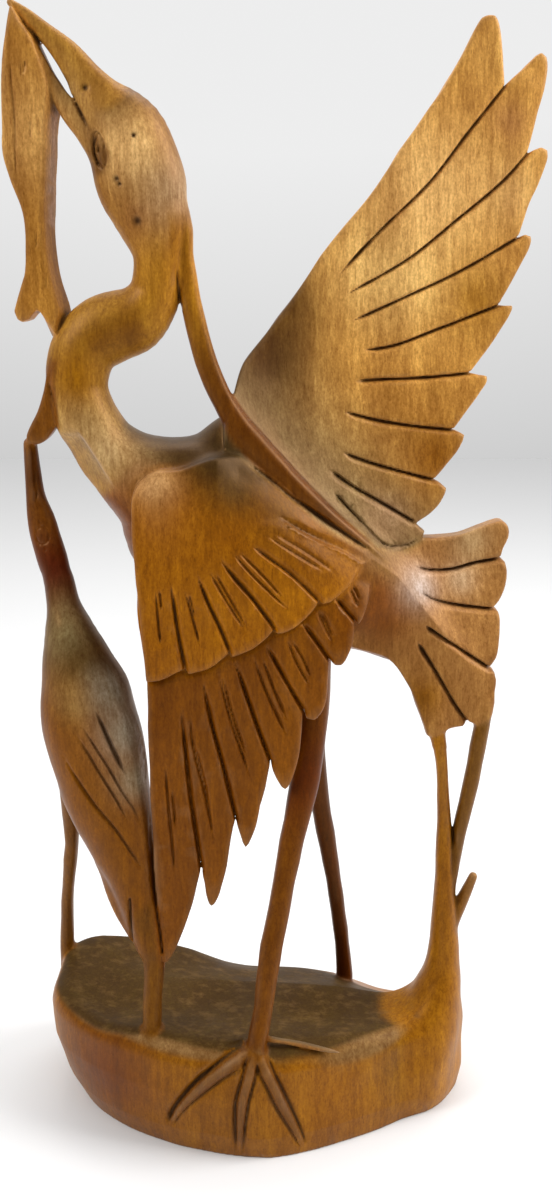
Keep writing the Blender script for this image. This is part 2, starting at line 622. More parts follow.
LONG_ROW_QUILLS = [
    [(-59.5, 224), (-58.5, 201.5), (-56.5, 175.5), (-55, 155.5)], [(-56, 207), (-54.5, 184.5)],
    [(-46, 254), (-44.5, 232), (-38, 203), (-33, 173)], [(-44, 235), (-39, 212.5), (-36, 193)],
    [(-31.5, 275), (-24, 244.5), (-13, 211)], [(-29, 272), (-22, 244.5), (-15, 223.5)],
    [(-12.5, 281), (-4, 257.5), (7, 233.5)], [(-8, 281), (-1, 261.5), (7, 242.5)],
    [(5.5, 289.5), (11.5, 275), (18.5, 262)], [(8, 288.5), (14.5, 277.5), (19, 266.5)],
    [(21.5, 304.5), (26, 294.5), (30.5, 285.5)], [(23.5, 303.5), (31, 288)],
    [(39, 314), (44, 303.5)], [(40.5, 315), (45, 306.5)],
]


PARTING_LINE = (1.8, 1.5)        # width and depth of the sharp line at the foot of each sloping cut
QUILL_CUT = (2.2, 2.3)


def cut_feathers(x, z, face, cuts, quills, slope_side, width=3.4, depth=3.0, fade=0.3):
    """Parts the feathers with sloping cuts and draws their quills with the knife's tip."""
    cut_depth = np.zeros(np.broadcast_shapes(x.shape, z.shape), dtype=np.float32)
    for path in cuts:
        line = curve(path)
        cut = knife_cut(x, z, line, width, depth, slope_side, (fade, 0.0))
        cut_depth = np.maximum(cut_depth, cut + knife_cut(x, z, line, *PARTING_LINE, 0, (fade, 0.0)))
    for path in quills:
        cut_depth = np.maximum(cut_depth, knife_cut(x, z, curve(path), *QUILL_CUT, 0, (0.25, 0.25)))
    return face + cut_depth


WING_ROOT = [(-69, 320), (-10, 345), (46, 326)]
WING_RIDGE = [
    (50, 329), (24, 348), (0, 369), (-12, 380), (-25, 383), (-40, 380), (-52, 376.5), (-60, 376.5),
    (-66, 374.5),
]
long_row = sawn_edge(*LONG_ROW_EDGE, WING_ROOT)
short_row = sawn_edge(WING_FRONT_EDGE, *SHORT_ROW_EDGE, WING_RIDGE)
cells, x, z = board((-84, 96), (64, 404))
wing_face = near_wing_face(x, z)
shoulder = mound(x, z, (-61, 364), (11, 13), 4.5)
under_short_row = sawn_edge(WING_FRONT_EDGE[-1:] + SHORT_ROW_EDGE[0], *SHORT_ROW_EDGE[1:])
by_the_ridge = smoothstep(z + RIDGE_SLOPE * x, 322, 362) * (1 - 0.7 * smoothstep(x, 0, 25))
lay_sheet(
    cells, outline_distance(x, z, long_row),
    cut_feathers(x, z, wing_face + ROW_STEP, LONG_ROW_CUTS, LONG_ROW_QUILLS, 1)
    + knife_cut(x, z, under_short_row, 2.6, 1.6, -1, (0.02, 0.0)),
    wing_face + WING_THICKNESS, softness=1.0, rounding=1.4,
)
lay_sheet(
    cells, outline_distance(x, z, short_row),
    cut_feathers(x, z, wing_face - shoulder, SHORT_ROW_CUTS, SHORT_ROW_QUILLS, 1),
    wing_face + WING_THICKNESS, softness=1.5 + 11 * by_the_ridge[:, None, :], rounding=1.4,
)
brush(on_sheet(long_row, near_wing_face, WING_THICKNESS), (117, 65, 10))
brush(on_sheet(short_row, near_wing_face, WING_THICKNESS), (149, 89, 14))
# The shoulder is rubbed pale, and the stain lies nearly black where the wing runs up to the ridge.
dab((-61, -42, 356), 16, (154, 93, 29))
dab((-30, -29, 384), 22, (58, 42, 18))
dab((-8, -25, 376), 16, (60, 43, 17))
dab((4, -30, 354), 16, (94, 59, 19))
dab((-22, -34, 367), 12, (86, 58, 24))
dab((-62, -38, 370), 11, (184, 138, 88))
dab((20, -32, 336), 18, (120, 70, 14))


# Back. Behind the near wing the wood is hollowed from the ridge that the crest runs down, and leans away
# from there: this one sweep carries the far wing above, and the tail's short fan below.
BACK_RIDGE = np.array([
    (-50, 500), (-42, 462), (-37, 439), (-28.4, 415), (-17.5, 392.5), (-0.5, 372.8), (23.8, 350.6),
    (45.8, 331), (66.5, 315.5), (84, 294.5), (110, 262), (130, 237),
])
RIDGE_LENGTHS = np.concatenate(([0], np.cumsum(np.hypot(*np.diff(BACK_RIDGE, axis=0).T))))
RIDGE_FRONT = -17.0
HOLLOW_DEPTH = 22.0
HOLLOW_REACH = 22.0
HOLLOW_END = (244.5, 328.0)
BACK_LEAN = 0.16
FRONT_LEAN = 0.1
BACK_THICKNESS = 13.0


def behind_ridge(x, z):
    """How far each place is behind the ridge, and how deep the hollow is there."""
    gap, side, along = path_gaps(x, z, BACK_RIDGE)
    length = np.interp(along * (len(BACK_RIDGE) - 1), np.arange(len(BACK_RIDGE)), RIDGE_LENGTHS)
    return gap * side, HOLLOW_DEPTH * (1 - smoothstep(length, *HOLLOW_END))


def back_face(x, z):
    """The front of the back, which the tail and the far wing follow."""
    behind, depth = behind_ridge(x, z)
    hollow = depth * (1 - np.exp(-np.maximum(behind, 0) / HOLLOW_REACH))
    return RIDGE_FRONT + hollow + np.where(behind > 0, BACK_LEAN, FRONT_LEAN) * behind


TAIL_EDGE = [
    [(82.5, 334), (92, 333.4), (104.5, 334.8), (115, 337.9), (124, 340.9), (128.5, 341.4), (132, 338),
     (132, 332), (129, 326), (127.5, 321)],
    [(130, 318.5), (131, 314.5), (130, 306), (126, 298), (122, 294)],
    [(125.5, 292.5), (126.5, 288.5), (125.5, 276), (123.5, 268), (119.5, 263)],
    [(122.5, 260), (123.5, 256), (122, 246.5), (119.5, 238.5), (114, 234.5), (108, 232.5)],
    [(105.5, 230), (100.5, 229.5), (93.5, 229.5), (85.5, 226)],
    [(78, 245), (72, 257), (67, 265), (62, 270), (52, 274.5), (42.5, 277.5)],
    [(30, 300), (10, 340), (-12, 366), (-2, 376), (20, 362), (45, 352), (65, 342), (82.5, 334)],
]
TAIL_CUTS = [
    [(77, 319.5), (85.5, 317), (100.5, 316.5), (112.5, 319), (127.5, 321)],
    [(79.5, 306.5), (88, 301.5), (103, 297), (122, 294)],
    [(82, 289), (96, 279), (119.5, 263)],
    [(78, 280), (88.5, 263.5), (100, 244), (108, 232.5)],
]
tail = sawn_edge(*TAIL_EDGE)
cells, x, z = board((-28, 212), (142, 392))
face = back_face(x, z)
lay_sheet(
    cells, outline_distance(x, z, tail),
    cut_feathers(x, z, face, TAIL_CUTS, [], -1, fade=0.12),
    face + BACK_THICKNESS - cut_feathers(x, z, 0, TAIL_CUTS, [], -1, width=2.4, depth=1.2),
    softness=6.0, rounding=2.0,
)
brush(on_sheet(tail, back_face, BACK_THICKNESS), (162, 112, 60))
# The fan is red-brown at its root and below, and worn nearly white at its middle.
dab((58, -21, 293), 20, (112, 58, 11))
dab((80, -20, 247), 14, (138, 86, 18))
dab((56, -14, 331), 16, (121, 87, 48))
dab((79, -12, 310), 11, (196, 174, 160))
dab((109, 9, 331), 14, (162, 126, 84))
dab((103, 1, 311), 9, (186, 150, 112))


# Far wing. It is raised behind the back as a fan of nine long feathers, and leans away towards its tips.
# It is a thin sheet of the same wood, sawn to steps along its edge, with one knife cut between feathers.
FAR_WING_STEP = 3.0
FAR_WING_LEAN = 0.075
FAR_WING_THICKNESS = 11.0
FAR_WING_EDGE = [
    [(-10, 358), (-27, 385), (-22.5, 415), (-18, 428.5), (-6, 444), (2.5, 454.5), (14.5, 470.5),
     (29, 491.5), (50.5, 516.5), (66.5, 540), (88, 570), (99.5, 588.5), (108, 605), (111, 609), (114, 610),
     (117.5, 610), (120, 605.5), (122.5, 592.5), (124, 574.5)],
    [(130.5, 580.5), (138.5, 588), (144.5, 592.5), (147.5, 590.5), (148.5, 585.5), (147, 574.5),
     (143, 558.5), (138.5, 540.5)],
    [(142.5, 542.5), (146.5, 544), (150, 542.5), (150.5, 539), (146, 525), (140, 511), (135.5, 496.5)],
    [(139.5, 498), (143, 497), (142.5, 491.5), (137.5, 482), (131.5, 471.5), (125.5, 460)],
    [(129.5, 459.5), (133, 459.5), (131.5, 454.5), (125.5, 445), (117.5, 433.5), (109, 423)],
    [(114.5, 422), (119, 421), (119, 418), (114.5, 411.5), (107, 402), (99.5, 392)],
    [(104, 390), (106, 389), (103.5, 382), (97, 374), (88.5, 365)],
    [(92.5, 362.5), (95.5, 360), (92.5, 353), (86, 346.5), (78, 342)],
    [(80.5, 339.5), (83, 337.5), (80, 334), (73, 331), (65.5, 330), (59.5, 332.5)],
    [(45, 336), (20, 348), (-10, 358)],
]
FAR_WING_CUTS = [
    [(32, 473.5), (54.5, 497), (83.5, 524.5), (105, 551.5), (124, 574.5)],
    [(37, 464.5), (73.5, 485), (98.5, 504.5), (125, 526), (138.5, 540.5)],
    [(40, 450.5), (71, 464), (102, 478), (135.5, 496.5)],
    [(47, 435.5), (64.5, 438), (91.5, 447.5), (125.5, 460)],
    [(43, 419.5), (60, 420), (85.5, 421), (109, 423)],
    [(37.5, 403), (56.5, 398), (77.5, 394.5), (99.5, 392)],
    [(36.5, 381.5), (49, 376.5), (65, 371.5), (88.5, 365)],
    [(29.5, 372.5), (40.5, 364.5), (57.5, 354.5), (76, 343.5)],
    [(32, 360.5), (43.5, 348), (59.5, 332.5)],
]
FAR_WING_CRACK = [(45.5, 495), (54.5, 497.5)]


def far_wing_face(x, z):
    behind, _ = behind_ridge(x, z)
    return back_face(x, z) - FAR_WING_STEP + FAR_WING_LEAN * np.maximum(behind, 0)


far_wing = sawn_edge(*FAR_WING_EDGE)
cells, x, z = board((-42, 318), (157, 617))
face = far_wing_face(x, z)
lay_sheet(
    cells, outline_distance(x, z, far_wing),
    cut_feathers(x, z, face, FAR_WING_CUTS, [], -1, width=3.2, depth=2.6, fade=0.12)
    + knife_cut(x, z, curve(FAR_WING_CRACK), 1.4, 1.0, 0, (0.4, 0.4)),
    face + FAR_WING_THICKNESS - cut_feathers(x, z, 0, FAR_WING_CUTS, [], -1, width=2.4, depth=1.2),
    softness=2.0, rounding=2.0,
)
on_far_wing = on_sheet(far_wing, far_wing_face, FAR_WING_THICKNESS)


def on_wing_root(points, up):
    """The root of the far wing, which hands and polish have left grey-brown."""
    behind, _ = behind_ridge(points[:, 0], points[:, 2])
    return on_far_wing(points, up) * (1 - smoothstep(behind, 8, 78))


brush(on_far_wing, (196, 138, 64))
brush(on_wing_root, (120, 96, 62))
# The upper feathers are pale gold. The lower ones are browner, and so is the front edge low down.
dab((62, 27, 480), 30, (240, 192, 114))
dab((82, 33, 520), 36, (231, 178, 106))
dab((112, 36, 462), 20, (151, 100, 34))
dab((128, 45, 520), 18, (208, 156, 90))
dab((116, 46, 590), 18, (212, 156, 78))
dab((127, 46, 556), 12, (182, 126, 68))
dab((90, 14, 378), 22, (139, 86, 25))
dab((-8, 4, 436), 26, (63, 36, 12))
dab((6, 6, 462), 18, (84, 53, 16))
dab((63, 0, 347), 13, (138, 106, 74))


# Crest. One long plume, left standing from the nape down to the back, where it runs out along the spine.
# It is stained dark brown, is rubbed to gold behind the head, and the wood beside its foot is nearly black.
CREST = in_body_plane([
    [-54, 522, 5, 7], [-48, 500, 5, 6], [-47, 481.5, 5.1, 5.5], [-44, 461.7, 5.3, 5.5],
    [-38.8, 439, 5.6, 5.5], [-30, 415, 5.8, 6], [-20, 398, 6.4, 7], [-11, 387.5, 6.6, 8],
    [12, 364.5, 5.2, 8.5], [31, 348.5, 3.4, 8.5],
]) + [[52, -12, 331, 2.6, 7], [79.5, -4, 303, 2.4, 5]]
limb(CREST, softness=1.5, squareness=2.8)


def on_crest(points, up):
    """The crest as it is seen from the front: within its width, and not the wood behind it."""
    line = smooth_through(CREST, 5.0)
    gap, _, along = path_gaps(points[:, 0], points[:, 2], line[:, [0, 2]])
    half_width = np.interp(along, np.linspace(0, 1, len(line)), line[:, 3])
    ends = smoothstep(along, 0.02, 0.14) * (1 - smoothstep(along, 0.74, 0.88))
    return ends * smoothstep(-points[:, 1], 3, 9) * (1 - smoothstep(gap / half_width, 0.95, 1.25))


dab((-25, -27, 381), 15, (34, 24, 9))
dab((-42, -22, 386), 15, (66, 48, 23))
brush(on_crest, (98, 54, 13))
dab((-45, -18, 474), 30, (180, 120, 32))


# Fish and morsel. The fish is a flat slab that hangs head up from the beak, its right edge cut back at a
# slant. The morsel joins the adult's throat to the chick's beak.
FISH_THICKNESS = 15.0
FISH_SLANT = 0.3
MORSEL_THICKNESS = 13.0
FISH_EDGE = [
    [(-127.5, 598.5), (-129.5, 591), (-132.3, 575.5), (-134.8, 546.5), (-135.3, 533), (-132, 519),
     (-127, 504), (-126, 495.5), (-127.5, 476.5), (-130, 469), (-134, 456)],
    [(-132.5, 452), (-130, 450.5), (-126, 452), (-122.5, 456), (-121, 455.5), (-117.5, 451),
     (-113.5, 445.5)],
    [(-110.8, 455), (-112, 461.5), (-114, 469), (-116, 482), (-116.8, 496.5), (-115.7, 517.5), (-114, 535),
     (-112.8, 549), (-111.5, 556), (-111.5, 561), (-113.5, 570), (-116, 578), (-121, 589), (-127.5, 598.5)],
]
MORSEL_EDGE = [
    [(-108, 430), (-116, 429), (-121.5, 414), (-125, 405), (-129, 397.5), (-131, 392.5), (-131, 388.5)],
    [(-125, 388.5), (-120.5, 391), (-116.5, 396), (-113.5, 401), (-106, 410), (-108, 430)],
]
FISH_LINES = [
    [(-129, 578), (-128.5, 566.5), (-128, 549), (-128.5, 530), (-129, 516.5)],
    [(-123.5, 573.5), (-123.5, 565.5)], [(-121, 574.5), (-122.5, 566.5)], [(-116, 549), (-116, 537.5)],
    [(-120, 549), (-120.5, 537.5)], [(-120, 498), (-120.5, 486)], [(-116.5, 476.5), (-117, 465.5)],
]
fish = sawn_edge(*FISH_EDGE)
morsel = sawn_edge(*MORSEL_EDGE)
for outline, thickness, slant in ((fish, FISH_THICKNESS, FISH_SLANT), (morsel, MORSEL_THICKNESS, 0.0)):
    cells, x, y, z = room(
        (outline[:, 0].min() - 12, BODY_Y - thickness, outline[:, 1].min() - 8),
        (outline[:, 0].max() + 12, BODY_Y + thickness, outline[:, 1].max() + 8),
    )
    edge = outline_distance(x[:, 0, :], z[0], outline)[:, None, :]
    right = smoothstep(x, -122, -117)
    edge = edge - slant * right * (y - BODY_Y + thickness / 2)
    form = pare(np.abs(y - BODY_Y) - thickness / 2, edge, 2.5)
    wood[cells] = blend(wood[cells], form, 1.0)


def fish_face(x, z):
    return np.full(np.broadcast_shapes(x.shape, z.shape), BODY_Y - FISH_THICKNESS / 2)


brush(on_sheet(fish, fish_face, FISH_THICKNESS), (172, 116, 48))
brush(on_sheet(morsel, fish_face, FISH_THICKNESS), (120, 70, 18))
dab((-120, -20, 540), 26, (206, 152, 84))
FISH_RIGHT_EDGE = [[-109.5, -11, 556, 2, 2], [-111, -11, 530, 2, 2], [-113, -11, 500, 2, 2]]
brush(beside(FISH_RIGHT_EDGE, 1.0), (190, 152, 126))


# Fine cuts. Once the forms stand, the carver marks them with the knife's tip: eyes, gapes and knots on the
# heads, the chick's feathers, the fish's lines and the toes.
def carve(low, high, cut, from_behind=False):
    """Cuts into the face that is seen from the front, or from behind, by a depth for each x and z."""
    cells, x, z = board(low, high)
    depth = cut(x, z)
    block = wood[cells]
    if from_behind:
        block = block[:, ::-1, :]
    within = block < 0
    first = within.argmax(axis=1)
    column_x, column_z = np.nonzero(within.any(axis=1) & (first > 0) & (depth > 0.02))
    j = first[column_x, column_z]
    outside, inside = block[column_x, j - 1, column_z], block[column_x, j, column_z]
    surface = np.full(depth.shape, np.nan)
    surface[column_x, column_z] = (j - 1 + outside / (outside - inside)) * CELL
    floor = surface + depth
    slopes = [np.nan_to_num(np.gradient(floor, CELL, axis=i)) for i in (0, 1)]
    flatness = 1 / np.sqrt(1 + np.minimum(slopes[0] ** 2 + slopes[1] ** 2, 6))
    reach = int(np.ceil((depth.max() + 5) / CELL))
    layers = np.clip(j[:, None] + np.arange(-reach, reach + 1), 0, block.shape[1] - 1)
    removed = (floor[column_x, column_z][:, None] - layers * CELL) * flatness[column_x, column_z][:, None]
    columns = (column_x[:, None], layers, column_z[:, None])
    block[columns] = np.maximum(block[columns], removed)


def around(path, margin=5.0):
    """Two (x, z) corners round a path."""
    points = np.array(path)
    return points.min(axis=0) - margin, points.max(axis=0) + margin


def score(path, width, depth, fade=(0.25, 0.25), slope_side=0, from_behind=False):
    """Draws the knife's tip along a path."""
    def cut(x, z):
        return knife_cut(x, z, curve(path, 2.0), width, depth, slope_side, fade)

    carve(*around(path), cut, from_behind)


def face_depth(points):
    """The depth (y) of the front face of the wood at some (x, z) points."""
    depths = []
    for px, pz in points:
        i = int(round((px - BLOCK_LOW[0]) / CELL))
        k = int(round((pz - BLOCK_LOW[2]) / CELL))
        column = wood[i, :, k]
        j = int((column < 0).argmax())
        depths.append(BLOCK_LOW[1] + CELL * (j - 1 + column[j - 1] / (column[j - 1] - column[j])))
    return np.array(depths)


def ring_cut(middle, half_wide, half_high, lean, width, depth, from_behind=False):
    """Cuts a leaning oval line round a place."""
    angles = np.linspace(0, 2 * math.pi, 17)
    across, up = half_wide * np.cos(angles), half_high * np.sin(angles)
    path = np.column_stack((
        middle[0] + across * math.cos(lean) - up * math.sin(lean),
        middle[1] + across * math.sin(lean) + up * math.cos(lean),
    ))
    carve(*around(path), lambda x, z: knife_cut(x, z, path, width, depth, 0, (0.0, 0.0)), from_behind)


def pit(middle, radius, depth):
    """Presses in a small round hole."""
    def cut(x, z):
        away = (x - middle[0]) ** 2 + (z - middle[1]) ** 2
        return depth * np.exp(-away / radius ** 2)

    carve(np.array(middle) - radius * 2, np.array(middle) + radius * 2, cut)


def saw_through(outline):
    """Opens the wood right through, inside an outline."""
    cells, x, z = board(*around(outline, 3.0))
    wood[cells] = pare(wood[cells], -outline_distance(x, z, outline)[:, None, :], 1.0)


BEAK_SLIT = [
    (-118, 587.6), (-112.6, 576.4), (-108.2, 568.4), (-103.4, 561), (-97.6, 554), (-101.6, 563.4),
    (-106.6, 572.2), (-111.6, 579.6),
]
saw_through(BEAK_SLIT)
EYE = (-86.5, 532.5)
EYELID = [(-86, 540.5), (-88.6, 537), (-89.4, 532), (-87.4, 526.5), (-85, 524)]
PUPIL = [(-87, 535), (-87, 530.5)]
GAPE = [(-99.5, 558), (-96, 551), (-92.5, 544), (-89.5, 538)]
for from_behind in (False, True):
    ring_cut(EYE, 3.0, 8.6, 0.16, 1.5, 1.5, from_behind)
    score(EYELID, 2.2, 2.2, (0.2, 0.2), from_behind=from_behind)
    score(PUPIL, 1.8, 1.8, from_behind=from_behind)
    score(GAPE, 2.4, 2.8, (0.02, 0.6), from_behind=from_behind)
KNOTS = [(-69, 538.5, 1.3), (-68.5, 499.5, 2.0), (-92.5, 561, 1.5), (-78, 519, 1.4), (-76.5, 516.5, 1.0)]
KNOT_DEPTH = 1.6
for x, z, radius in KNOTS:
    pit((x, z), radius, KNOT_DEPTH)
    dab((x, face_depth([(x, z)])[0], z), 1.1 * radius, (34, 18, 9))
RIDGE_LINE = [(-16, 379.5), (-0.5, 368.5), (7.5, 361.5), (18, 354.5), (31.5, 345), (52, 331)]
score(RIDGE_LINE, 2.4, 2.4, (0.15, 0.1), slope_side=-1)
CHICK_EYE = (-124, 341)
ring_cut(CHICK_EYE, 3.5, 4.6, 0.1, 1.2, 1.1)

BOTH_ENDS = (0.25, 0.25)
SCORES = [
    # path, width, depth, and the shares of it over which its two ends run out
    # the crest against the neck, and the fish against the upper beak
    ([(-50.5, 481), (-50, 469), (-48, 455)], 1.6, 2.6, (0.4, 0.05)),
    ([(-125, 593.5), (-120.5, 589), (-116.5, 585.5)], 1.5, 1.4, (0.1, 0.1)),
    # beside the chick's eye, its gape, and the morsel
    ([(-123, 336.8), (-122, 332.5)], 1.0, 0.8, BOTH_ENDS),
    ([(-125, 345.4), (-125.5, 349)], 1.0, 0.8, BOTH_ENDS),
    ([(-116, 333.5), (-117, 327.5)], 1.0, 0.8, BOTH_ENDS),
    ([(-128.5, 388), (-128, 373), (-126, 352)], 1.3, 1.6, (0.05, 0.3)),
    ([(-117.5, 420), (-116.5, 414), (-114.5, 407.5), (-113.5, 401.5)], 1.4, 1.4, (0.1, 0.1)),
    # the chick's feathers
    ([(-97, 255), (-90.5, 239), (-85.5, 226.5), (-78.5, 210)], 4.6, 3.6, (0.3, 0.4)),
    ([(-105, 248.5), (-98.5, 237), (-90.5, 223), (-83.5, 208.5), (-76, 193.5), (-72, 181)],
     2.6, 2.0, BOTH_ENDS),
    ([(-107.5, 242.5), (-101, 231.5), (-93.5, 217.5), (-86, 203.5), (-78.5, 186.5)], 2.6, 2.0, BOTH_ENDS),
    ([(-115, 229.5), (-107.5, 216.5), (-97, 200.5), (-86.5, 186), (-76.5, 168), (-69, 155)],
     2.6, 2.0, BOTH_ENDS),
    ([(-75.5, 240), (-73, 228), (-70.5, 208)], 2.0, 1.8, BOTH_ENDS),
    # the chick's wing tip and leg, and the front edge of the near wing behind them
    ([(-80, 146.5), (-80, 133), (-80, 117)], 2.0, 3.4, (0.1, 0.0)),
    ([(-68.5, 190.5), (-68, 165), (-66.5, 142), (-64, 123), (-63, 112)], 1.6, 2.6, (0.5, 0.0)),
    ([(-71, 141), (-70.5, 121)], 1.2, 1.0, BOTH_ENDS),
    *((path, 1.5, 1.4, BOTH_ENDS) for path in FISH_LINES),
    # the lowest feather of the far wing over the tail, and the fork of the reed
    ([(32, 360.5), (43.5, 348), (59.5, 332.5), (66, 331), (73, 331.5), (80, 335)], 1.8, 2.2, (0.15, 0.1)),
    ([(100.5, 176.5), (101.5, 166), (102.5, 155.5)], 1.6, 2.0, (0.1, 0.4)),
]
for path, width, depth, fade in SCORES:
    score(path, width, depth, fade)

TOES = [
    # middle line, half widths at its start, middle and end, and how wide the cuts on its two sides are
    ([(-16, 61.5), (-28, 54.5), (-38.5, 45.5), (-47.5, 35.5), (-54, 26), (-59.5, 14.5)],
     (2.8, 2.8, 0.7), (1.8, 4.0)),
    ([(-12.5, 60.5), (-15.5, 48), (-18.5, 36), (-19.8, 19.5), (-20, 3)], (2.4, 2.6, 0.8), (2.4, 2.6)),
    ([(-8, 58.5), (-2.5, 47), (4, 31.5), (11, 16), (16, 3)], (2.6, 2.6, 0.8), (2.6, 2.4)),
]
TOE_SINK = 1.9
for path, half_widths, cut_widths in TOES:
    ridge = curve(path, 3.0)
    half = np.interp(np.linspace(0, 1, len(ridge)), (0, 0.45, 1), half_widths)
    depth = face_depth(ridge) + TOE_SINK
    toe = [[x, y, z, h, h + 0.4] for (x, z), y, h in zip(ridge, depth, half)]
    limb(toe, softness=0.8, squareness=3.0)
    brush(beside(toe, 0.5), (110, 66, 20))
    tangent = np.gradient(ridge, axis=0)
    aside = np.column_stack((-tangent[:, 1], tangent[:, 0])) / np.linalg.norm(tangent, axis=1)[:, None]
    for which, width in zip((1, -1), cut_widths):
        border = ridge + which * (half[:, None] + 0.7) * aside
        score(border, width, 0.9 * width, (0.12, 0.15), slope_side=which)
# A fourth toe lies along the top of the base, behind a hollow that a gouge has left.
TOE_HOLLOW = [
    [-2, -77, 66.5, 3.6, 3.6], [12, -75.5, 62, 3.0, 3.0], [26, -74.5, 59.5, 2.2, 2.2],
    [40, -74, 57.5, 0.8, 0.8],
]
cells, hollow = sweep(TOE_HOLLOW, softness=0.8, spacing=3.0, squareness=2.0)
wood[cells] = pare(wood[cells], -hollow, 0.8)
SIDE_TOE = [
    [-6, -72, 67, 2.0, 2.0], [12, -71, 63, 1.8, 1.8], [26, -71.5, 60, 1.4, 1.4],
    [39, -72.5, 57.5, 0.7, 0.7],
]
limb(SIDE_TOE, softness=1.0)


# Surface. The faces still show the knife: they are very slightly uneven. The underside is sawn off flat.
# The whole carving is one skin of wood.
UNEVENNESS = 0.3
UNEVEN_STEP = 11.0


def stretched(values, count, axis):
    """Values spread evenly over more cells along an axis, in straight lines between them."""
    place = np.linspace(0, values.shape[axis] - 1, count)
    before = np.minimum(place.astype(int), values.shape[axis] - 2)
    share = np.reshape((place - before).astype(np.float32), [-1 if i == axis else 1 for i in range(3)])
    return np.take(values, before, axis) * (1 - share) + np.take(values, before + 1, axis) * share


chance = np.random.default_rng(7)
steps = np.ceil((BLOCK_HIGH - BLOCK_LOW) / UNEVEN_STEP).astype(int)
uneven = chance.normal(0, 1, steps).astype(np.float32)
for axis in range(3):
    uneven = stretched(uneven, wood.shape[axis], axis)
wood += UNEVENNESS * uneven
heights = (BLOCK_LOW[2] + CELL * np.arange(wood.shape[2])).astype(np.float32)
wood = np.maximum(wood, -heights[None, None, :])

SKIN_TRIANGLES = 196_000
grid = openvdb.FloatGrid(background=OPEN_AIR)
grid.copyFromArray(wood)
grid.gridClass = openvdb.GridClass.LEVEL_SET
points, _, quads = grid.convertToPolygons(isovalue=0.0, adaptivity=0.0)
points = (points * CELL + BLOCK_LOW) / 1000
quads = quads[:, ::-1]


def skin(name, points, faces):
    """A mesh object from points and faces, all with the same number of corners."""
    mesh = bpy.data.meshes.new(name)
    sides = faces.shape[1]
    mesh.vertices.add(len(points))
    mesh.vertices.foreach_set("co", points.astype(np.float32).ravel())
    mesh.loops.add(faces.size)
    mesh.loops.foreach_set("vertex_index", faces.astype(np.int32).ravel())
    mesh.polygons.add(len(faces))
    mesh.polygons.foreach_set("loop_start", np.arange(0, faces.size, sides, dtype=np.int32))
    mesh.update(calc_edges=True)
    mesh.validate()
    piece = bpy.data.objects.new(name, mesh)
    bpy.context.scene.collection.objects.link(piece)
    return piece


carving = skin("carved_stork", points, quads)
pared = carving.modifiers.new("pared", "DECIMATE")
pared.ratio = min(1.0, SKIN_TRIANGLES / (2 * len(quads)))
reduced = bpy.data.meshes.new_from_object(carving.evaluated_get(bpy.context.evaluated_depsgraph_get()))
carving.modifiers.remove(pared)
carving.data = reduced
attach(carving, "root")
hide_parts("stork_carving")


def read_grid(values, points, cell):
    """The value of a grid at some points, in straight lines between its cells."""
    place = (points - BLOCK_LOW) / cell
    before = np.clip(np.floor(place).astype(int), 0, np.array(values.shape) - 2)
    share = place - before
    total = np.zeros(len(points))
    for corner in range(8):
        step = np.array([(corner >> i) & 1 for i in range(3)])
        weight = np.prod(np.where(step, share, 1 - share), axis=1)
        i, j, k = (before + step).T
        total += weight * values[i, j, k]
    return total


corners = np.empty(len(reduced.vertices) * 3, dtype=np.float32)
reduced.vertices.foreach_get("co", corners)
corners = corners.reshape(-1, 3).astype(float) * 1000
FEEL = 0.8 * CELL        # how far to each side of the skin the wood is felt for the way it faces
facing = np.column_stack([
    read_grid(wood, corners + step, CELL) - read_grid(wood, corners - step, CELL)
    for step in np.eye(3) * FEEL
])
facing /= np.maximum(np.linalg.norm(facing, axis=1), 1e-6)[:, None]
reduced.shade_smooth()
reduced.normals_split_custom_set_from_vertices(facing)


# Finish. A brown stain is brushed on, lies dark in the cuts and is rubbed off the edges, and a satin
# varnish goes over it. The stain's shade for each part, and how worn or filled each place is, are kept on
# the skin.
def spread(values, width):
    """A grid blurred over a number of cells."""
    for axis in range(3):
        total = np.cumsum(values, axis=axis)
        count = values.shape[axis]
        ahead = np.take(total, np.minimum(np.arange(count) + width, count - 1), axis)
        behind = np.take(total, np.maximum(np.arange(count) - width - 1, 0), axis)
        values = (ahead - behind) / (2 * width + 1)
    return values


coarse = np.clip(wood[::2, ::2, ::2], -6, 6)
near_fill = read_grid(spread(spread(coarse, 1), 1), corners, 2 * CELL)
wide_fill = read_grid(spread(spread(coarse, 3), 3), corners, 2 * CELL)
CUT_FILL = 1.6
HOLLOW_FILL = 4.0
BARE_WOOD = stain(150, 98, 34)
up = facing[:, 2]
shade = np.tile(BARE_WOOD, (len(corners), 1))
for where, colour in brushed:
    amount = where(corners, up)[:, None]
    shade = shade * (1 - amount) + colour * amount


def keep(name, kind, values):
    """Keeps a value for each point of the skin."""
    field = "color" if kind == "FLOAT_COLOR" else "value"
    flat = np.ascontiguousarray(values, dtype=np.float32).ravel()
    reduced.attributes.new(name, kind, "POINT").data.foreach_set(field, flat)


keep("shade", "FLOAT_COLOR", np.column_stack((shade, np.ones(len(shade)))))
keep("fill", "FLOAT", np.clip(-near_fill / CUT_FILL, -1, 1))
keep("hollow", "FLOAT", np.clip(-wide_fill / HOLLOW_FILL, -1, 1))
keep("dust", "FLOAT", on_base_top(corners, up))

varnished = bpy.data.materials.new("varnished_wood")
varnished.use_nodes = True
tree = varnished.node_tree
shader = tree.nodes["Principled BSDF"]


def node(kind, **settings):
    made = tree.nodes.new(kind)
    for key, value in settings.items():
        if key in made.inputs:
            made.inputs[key].default_value = value
        else:
            setattr(made, key, value)
    return made


def join(source, target, socket):
    tree.links.new(source, target.inputs[socket])


def attribute(name):
    return node("ShaderNodeAttribute", attribute_name=name)


object_place = node("ShaderNodeTexCoord").outputs["Object"]


